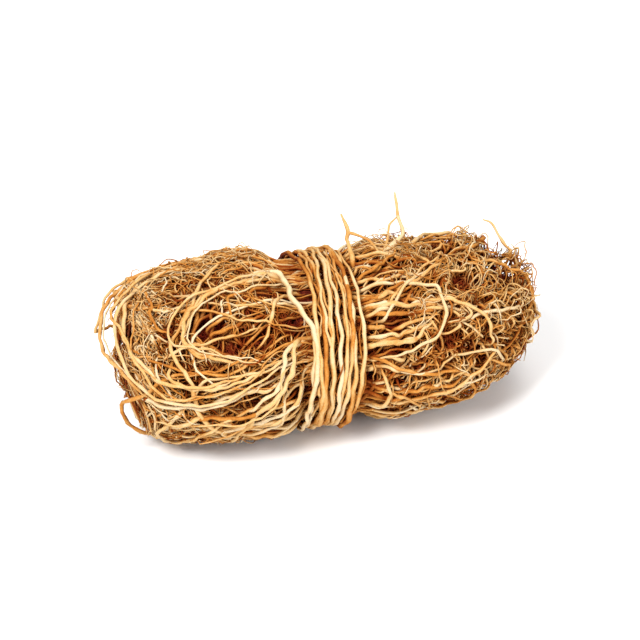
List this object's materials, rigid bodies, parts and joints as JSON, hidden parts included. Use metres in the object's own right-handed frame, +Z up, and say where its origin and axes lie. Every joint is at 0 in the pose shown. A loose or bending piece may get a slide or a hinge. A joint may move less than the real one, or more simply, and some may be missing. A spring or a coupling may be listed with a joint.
{
  "type": "vetiver root hank",
  "caption": "Hank of dried vetiver roots, folded into loops at both ends, lying on its side and bound round the middle with more of the same roots.",
  "frame": {"origin": "under the middle of the hank's box, on the surface that it lies on", "axes": "+X along the hank, towards the end with the finer rootlets; -Y is the front that the camera sees; +Z is up"},
  "size_m": [0.1604, 0.0833, 0.0708],
  "materials": {
    "golden_root": "dry matt root bark, golden orange to rust",
    "pale_root": "dry matt root bark, pale straw"
  },
  "bodies": {
    "root": {"root_hank": "golden_root", "binding_root_1": "pale_root", "binding_root_2": "pale_root", "binding_root_3": "pale_root"}
  },
  "joints": []
}
